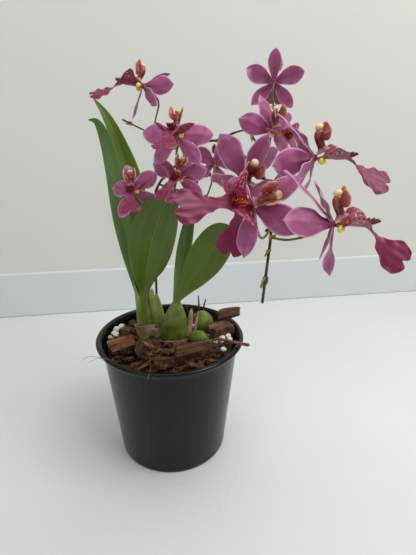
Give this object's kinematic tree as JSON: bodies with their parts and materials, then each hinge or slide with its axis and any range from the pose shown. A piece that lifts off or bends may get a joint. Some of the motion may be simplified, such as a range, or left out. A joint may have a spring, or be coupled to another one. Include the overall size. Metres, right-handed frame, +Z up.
{
  "type": "potted orchid",
  "caption": "Small nursery pot of bark mix holding an orchid with strap leaves, bulbs and an arching spray of two-tone pink flowers with long lips.",
  "frame": {"origin": "centre of the pot's underside", "axes": "+Z up along the pot's axis, +X to the side that the flower spray leans over, -Y to the front, where the spray arches forward"},
  "size_m": [0.1672, 0.1793, 0.283],
  "materials": {
    "pot_plastic": "satin",
    "potting_mix": "matte",
    "bark": "matte",
    "bulb": "satin",
    "sheath": "satin",
    "leaf": "satin",
    "stalk": "satin",
    "tepal": "satin",
    "lip": "satin",
    "column": "satin"
  },
  "bodies": {
    "root": {"bark_chunk_front": "bark", "bark_chunk_long": "bark", "bark_flake": "bark", "branch_left": "stalk", "branch_lower": "stalk", "branch_top": "stalk", "branch_upper": "stalk", "bulb_back": "bulb", "bulb_front": "bulb", "bulb_small": "bulb", "flower_01_column": "column", "flower_01_lip": "lip", "flower_01_tepals": "tepal", "flower_02_column": "column", "flower_02_lip": "lip", "flower_02_tepals": "tepal", "flower_03_column": "column", "flower_03_lip": "lip", "flower_03_tepals": "tepal", "flower_04_column": "column", "flower_04_lip": "lip", "flower_04_tepals": "tepal", "flower_05_column": "column", "flower_05_lip": "lip", "flower_05_tepals": "tepal", "flower_06_column": "column", "flower_06_lip": "lip", "flower_06_tepals": "tepal", "flower_07_column": "column", "flower_07_lip": "lip", "flower_07_tepals": "tepal", "flower_08_column": "column", "flower_08_lip": "lip", "flower_08_tepals": "tepal", "flower_09_column": "column", "flower_09_lip": "lip", "flower_09_tepals": "tepal", "flower_10_column": "column", "flower_10_lip": "lip", "flower_10_tepals": "tepal", "flower_11_column": "column", "flower_11_lip": "lip", "flower_11_tepals": "tepal", "flower_stalk": "stalk", "growth_left": "sheath", "growth_right": "sheath", "husk_chunk_left": "bark", "husk_chunk_left_back": "bark", "husk_chunk_middle": "bark", "husk_chunk_right_back": "bark", "leaf_broad": "leaf", "leaf_narrow": "leaf", "leaf_right": "leaf", "leaf_tall": "leaf", "leaf_tall_side": "leaf", "pot": "pot_plastic", "potting_mix": "potting_mix"}
  },
  "joints": []
}
